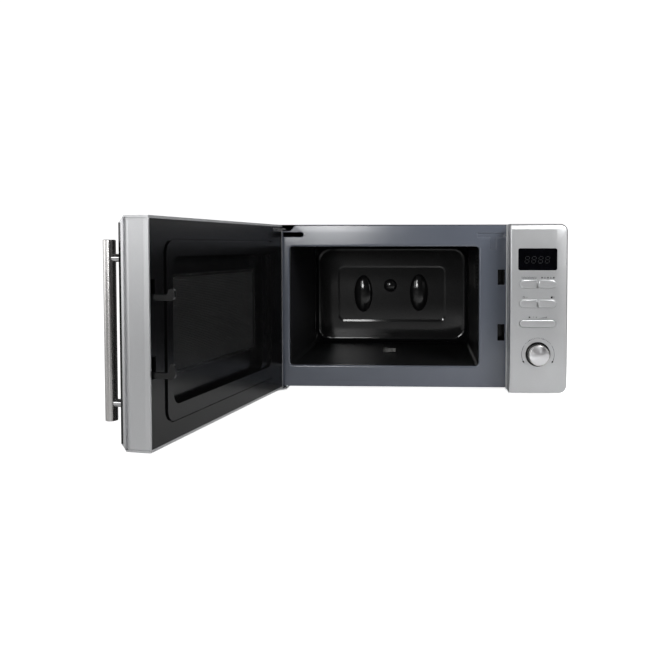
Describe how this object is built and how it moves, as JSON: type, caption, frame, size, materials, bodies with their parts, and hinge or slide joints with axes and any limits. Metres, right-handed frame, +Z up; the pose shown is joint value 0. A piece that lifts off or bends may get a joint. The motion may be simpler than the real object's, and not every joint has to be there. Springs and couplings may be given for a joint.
{
  "type": "microwave oven",
  "caption": "Countertop microwave oven with a side-hinged door standing open, tubular handle, control panel with display, push buttons and turning knob.",
  "frame": {"origin": "on the surface that the feet stand on, below the middle of the oven's bounding box with its door open", "axes": "+X to the right of someone facing the oven, +Y from the front to the back of the oven, +Z up"},
  "size_m": [0.5646, 0.6793, 0.262],
  "materials": {
    "cover_paint": "fine textured dark grey powder coat",
    "plate_enamel": "glossy slate grey enamel on steel",
    "cavity_enamel": "glossy black enamel on stamped steel",
    "zinc_steel": "zinc-plated sheet steel",
    "mica": "pressed mica sheet",
    "lamp_glass": "clear bulb glass",
    "white_plastic": "moulded natural plastic",
    "aluminium": "bare aluminium",
    "laminations": "varnished steel laminations",
    "copper": "enamelled copper wire",
    "black_plastic": "smooth black plastic",
    "circuit_board": "circuit board lacquer",
    "chrome_steel": "bright plated steel",
    "silver_plastic": "satin silver-painted moulding",
    "display_lens": "smoked display lens",
    "spun_metal": "spun aluminium with circular grain",
    "black_glass": "black-printed tempered glass",
    "screen_enamel": "perforated steel screen in black enamel",
    "clear_film": "clear window film",
    "latch_plastic": "black moulded latch",
    "handle_steel": "brushed stainless tube",
    "rubber": "black rubber"
  },
  "bodies": {
    "cabinet": {"base_plate": "zinc_steel", "cavity_back": "cavity_enamel", "cavity_roof": "cavity_enamel", "cavity_shell": "cavity_enamel", "control_board": "circuit_board", "cord_gland": "black_plastic", "cover_screws": "chrome_steel", "display_module": "black_plastic", "display_window": "display_lens", "encoder": "zinc_steel", "fan_motor": "laminations", "fan_shroud": "black_plastic", "filter_board": "circuit_board", "foot_front_left": "rubber", "foot_front_right": "rubber", "foot_rear_left": "rubber", "foot_rear_right": "rubber", "front_plate": "plate_enamel", "hv_capacitor": "aluminium", "interlock_bracket": "black_plastic", "interlock_switches": "black_plastic", "lower_hinge_bracket": "chrome_steel", "lower_hinge_pin": "chrome_steel", "magnetron_anode": "aluminium", "magnetron_yoke": "zinc_steel", "outer_cover": "cover_paint", "oven_lamp": "lamp_glass", "panel_bezel": "silver_plastic", "primary_winding": "copper", "rear_panel": "zinc_steel", "secondary_winding": "copper", "tact_switches": "black_plastic", "thermal_cutouts": "black_plastic", "transformer_core": "laminations", "turntable_motor": "zinc_steel", "upper_hinge_bracket": "chrome_steel", "upper_hinge_pin": "chrome_steel", "waveguide": "zinc_steel", "waveguide_cover": "mica"},
    "door": {"door_frame": "silver_plastic", "door_glass": "black_glass", "choke_cover": "black_plastic", "choke_panel": "screen_enamel", "inner_window": "clear_film", "handle_tube": "handle_steel", "handle_post_lower": "chrome_steel", "handle_post_upper": "chrome_steel", "handle_screws": "chrome_steel", "latch_spring": "chrome_steel"},
    "latch": {"latch_plate": "latch_plastic"},
    "turntable": {"turntable_coupling": "white_plastic"},
    "fan": {"fan_blade": "white_plastic"},
    "knob": {"timer_knob": "silver_plastic", "knob_cap": "spun_metal", "encoder_shaft": "chrome_steel"},
    "cook_button": {"cook_button": "silver_plastic"},
    "defrost_button": {"defrost_button": "silver_plastic"},
    "clock_button": {"clock_button": "silver_plastic"},
    "stop_button": {"stop_button": "silver_plastic"},
    "start_button": {"start_button": "silver_plastic"}
  },
  "joints": [
    {"name": "door_hinge", "type": "hinge", "parent": "cabinet", "child": "door", "pos_m": [-0.1617, 0.0123, 0.136], "axis": [0, 0, 1], "range_deg": [-5, 101.3]},
    {"name": "latch_lift", "type": "slide", "parent": "door", "child": "latch", "axis": [0, 0, 1], "range_m": [0, 0.0035], "stiffness_N_per_m": 400, "springref_m": -0.004, "deforming": ["latch_spring"]},
    {"name": "turntable_spin", "type": "hinge", "parent": "cabinet", "child": "turntable", "pos_m": [0.0098, 0.1738, 0.05], "axis": [0, 0, 1], "continuous": true},
    {"name": "fan_spin", "type": "hinge", "parent": "cabinet", "child": "fan", "pos_m": [0.2201, 0.3008, 0.185], "axis": [0, 1, 0], "continuous": true},
    {"name": "knob_turn", "type": "hinge", "parent": "cabinet", "child": "knob", "pos_m": [0.2388, -0.0152, 0.0693], "axis": [0, -1, 0], "continuous": true},
    {"name": "cook_press", "type": "slide", "parent": "cabinet", "child": "cook_button", "axis": [0, 1, 0], "range_m": [0, 0.001], "stiffness_N_per_m": 800, "springref_m": -0.0004},
    {"name": "defrost_press", "type": "slide", "parent": "cabinet", "child": "defrost_button", "axis": [0, 1, 0], "range_m": [0, 0.001], "stiffness_N_per_m": 800, "springref_m": -0.0004},
    {"name": "clock_press", "type": "slide", "parent": "cabinet", "child": "clock_button", "axis": [0, 1, 0], "range_m": [0, 0.001], "stiffness_N_per_m": 800, "springref_m": -0.0004},
    {"name": "stop_press", "type": "slide", "parent": "cabinet", "child": "stop_button", "axis": [0, 1, 0], "range_m": [0, 0.001], "stiffness_N_per_m": 800, "springref_m": -0.0004},
    {"name": "start_press", "type": "slide", "parent": "cabinet", "child": "start_button", "axis": [0, 1, 0], "range_m": [0, 0.001], "stiffness_N_per_m": 800, "springref_m": -0.0004}
  ]
}
